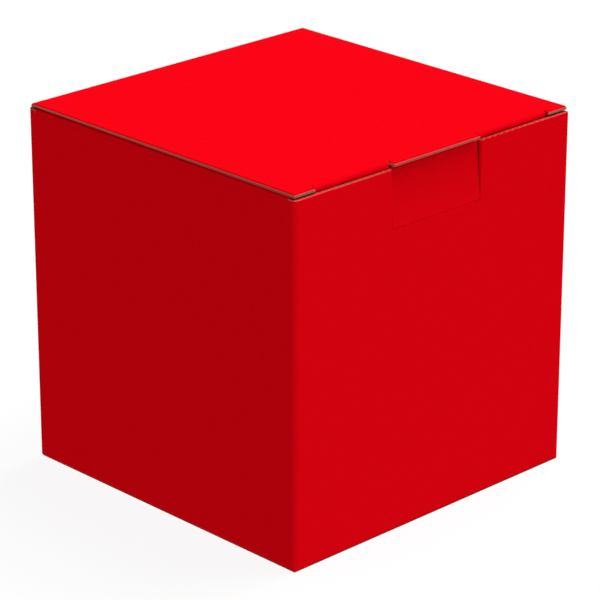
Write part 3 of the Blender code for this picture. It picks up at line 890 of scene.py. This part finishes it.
def make_lid():
    outline = mirrored([
        (LIP_HALF, -HALF), (LIP_HALF, -LID_FRONT), (EAR_INNER, -LID_FRONT), (EAR_INNER, -EAR_FRONT),
        (LID_HALF, -EAR_FRONT), (LID_HALF, FOLD_START),
    ])
    lid = board(
        "lid_board", outline, lambda u, v, d: (u, v, HEIGHT - d), joined=[(V, FOLD_START), (V, -LID_FRONT)],
        flute_ends=[(V, -EAR_FRONT)], opening=[(U, EAR_INNER), (U, -EAR_INNER)], widest=CLOSED,
    )
    put(lid, "lid_panel", "lid")
    profile = Profile.round((FOLD, HEIGHT - FOLD), FOLD, from_deg=180, to_deg=90, seams=(True, True))
    outline = mirrored([(LID_ROOT, 0), (LID_HALF, LID_FLARE), (LID_HALF, 1)])
    strip("lid_crease", BACK, profile, outline)


def make_tuck():
    """Two short folds beside the lip, and the flap that they carry, which leans into the box."""
    centre = (TUCK_AXIS, HEIGHT - TUCK_FOLD)
    fold = Profile.round(centre, TUCK_FOLD, from_deg=90, to_deg=180 + TUCK_LEAN_DEG, seams=(True, True))
    inner, outer = TUCK_SIDES
    corners = [(TUCK_ROOTS[0], 0), (TUCK_ROOTS[1], 0), (outer, 1), (inner, 1)]
    for name, way in (("tuck_crease_left", -1), ("tuck_crease_right", 1)):
        strip(name, FRONT, fold, flipped(corners, way))
    _, across, up, heading = fold.rows[-1]
    flat = Profile(across, up, math.degrees(heading), print_side=1).ahead(TUCK_DEPTH)
    outline = rounded(mirrored([
        (inner, TUCK_SLOT, TUCK_CORNER), (inner, 0, 0), (outer, 0, 0), (outer, TUCK_TAPER, TUCK_CORNER),
        (TUCK_END_HALF, TUCK_DEPTH, FLAP_CORNER),
    ]))
    flap = board("tuck_board", outline, profile_place(FRONT, flat, LENGTH), (), (), [(V, 0.0)])
    put(flap, "tuck_flap", "tuck")


def make_lock_tab():
    """The crease is scored from outside, so that its middle dips a little."""
    bend = Profile(BOARD / 2, NOTCH_FOOT, heading_deg=90, print_side=-1)
    radius = CREASE / math.radians(TAB_LEAN_DEG)
    bend.turn(-SEAM_DEG / 4, radius, 1)
    bend.turn(-TAB_LEAN_DEG + SEAM_DEG / 2, radius, CREASE_STEPS)
    bend.turn(-SEAM_DEG / 4, radius, 1)
    length = bend.rows[-1][0]
    along = profile_place(FRONT, bend, LENGTH)

    def scored(u, v, d):
        return along(u, v, d + SCORE * math.sin(math.pi * v / length) ** SCORE_POWER)

    outline = [(-NOTCH_HALF, 0), (NOTCH_HALF, 0), (NOTCH_HALF, length), (-NOTCH_HALF, length)]
    piece = crease("lock_tab_crease", outline, scored, bend.lines(LENGTH))
    start, end = along(0, 0, 0), along(0, length, 0)
    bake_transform(piece)
    _, across, up, heading = bend.rows[-1]
    flat = Profile(across, up, math.degrees(heading), print_side=-1).ahead(TAB_TOP - up)
    top = flat.rows[-1][0]
    half = NOTCH_HALF - TAB_PLAY
    outline = [(-half, 0), (half, 0), (half, top), (-half, top)]
    # The tab's materials carry painted shade: its print darkens towards its top.
    tab = board(
        "lock_tab_board", outline, profile_place(FRONT, flat, LENGTH), joined=[(V, 0.0)],
        materials=TAB_MATERIALS_PAINTED_SHADE, opening=[(U, half), (U, -half)], widest=CLOSED,
    )
    put(tab, "front_lock_tab", "lock_tab")


def make_dust_flaps():
    profile = Profile.round((FOLD, DUST_TOP - FOLD), FOLD, from_deg=180, to_deg=90, seams=(True, True))
    for side, turn, front in (("left_dust", LEFT, 1), ("right_dust", RIGHT, -1)):
        ends = sorted((-front * BACK_ROOT, front * DUST_END))
        corners = [(ends[0], 0), (ends[1], 0), (ends[1], 1), (ends[0], 1)]
        strip(side + "_crease", turn, profile, corners, ends)
        flat = Profile(FOLD, DUST_TOP - BOARD / 2, heading_deg=0, print_side=-1).ahead_to(DUST_REACH)
        outline = flipped(rounded([
            (DUST_END, FOLD, 0), (DUST_NECK[0], FOLD + DUST_NECK[1], DUST_NECK_CORNER),
            (DUST_FRONT, DUST_REACH, FLAP_CORNER), (-DUST_BACK, DUST_REACH, FLAP_CORNER),
            (-BACK_ROOT, FOLD, 0),
        ]), front)
        piece = board(side + "_flap_board", outline, profile_place(turn, flat, SPAN), (), (), [(V, FOLD)])
        put(piece, side + "_flap", side)


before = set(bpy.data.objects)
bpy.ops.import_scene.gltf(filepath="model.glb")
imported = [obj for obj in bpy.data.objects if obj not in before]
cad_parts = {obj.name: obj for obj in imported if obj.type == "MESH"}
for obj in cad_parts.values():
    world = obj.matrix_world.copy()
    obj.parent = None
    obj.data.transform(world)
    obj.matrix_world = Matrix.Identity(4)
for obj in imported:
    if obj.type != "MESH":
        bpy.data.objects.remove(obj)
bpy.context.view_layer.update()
MATERIALS = [
    printed_board("red_print"), kraft_board(), cut_paper("cut_liner", CUT_LINER),
    cut_paper("cut_medium_and_shade", CUT_MEDIUM_AND_SHADE), cut_paper("flute_ends", CUT_FLUTES),
]
# The lock tab's print carries painted shade from the lid's lip, darker towards the tab's top.
TAB_MATERIALS_PAINTED_SHADE = [printed_board("tab_print_painted_shade", painted_lip_shade=True), *MATERIALS[1:]]
bpy.context.scene.view_settings.view_transform = "Standard"
add_camera()
add_world()
add_floor()
add_sun("key", towards=(0.45, -0.10, 0.887), strength=0.832 * math.pi, angle_deg=35.0)
add_sun("bounce", towards=(-0.02, -0.80, -0.60), strength=0.405 * math.pi, angle_deg=60.0)
make_walls()
make_bottom()
make_lid()
make_tuck()
make_lock_tab()
make_dust_flaps()
